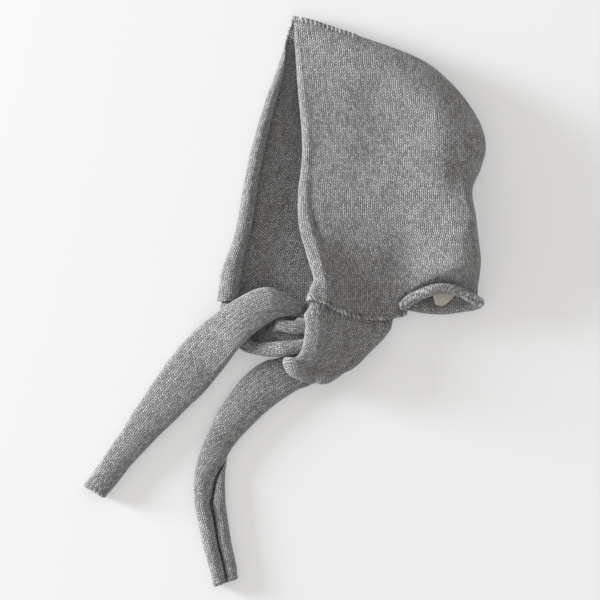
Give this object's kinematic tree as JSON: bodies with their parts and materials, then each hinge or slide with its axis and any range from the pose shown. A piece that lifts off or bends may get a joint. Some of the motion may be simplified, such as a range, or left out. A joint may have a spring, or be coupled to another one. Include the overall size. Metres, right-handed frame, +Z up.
{
  "type": "baby bonnet",
  "caption": "Knitted baby bonnet lying on its side, with curled front and neck edges and two long ties crossed in a half knot under the chin",
  "frame": {"origin": "On the resting surface under the middle of the hood, where the lower layer lies flat", "axes": "+X from the face opening to the back of the head, +Y from the neck edge up to the point of the hood, +Z up off the surface"},
  "size_m": [0.314, 0.4454, 0.0402],
  "materials": {
    "hood_knit": "grey melange stockinette knit, matte",
    "near_tie_knit": "grey melange stockinette knit, matte",
    "far_tie_knit": "grey melange stockinette knit, matte",
    "label_cloth": "bare cream woven tape, matte"
  },
  "bodies": {
    "root": {"hood": "hood_knit", "near_tie": "near_tie_knit", "far_tie": "far_tie_knit", "label": "label_cloth"}
  },
  "joints": []
}
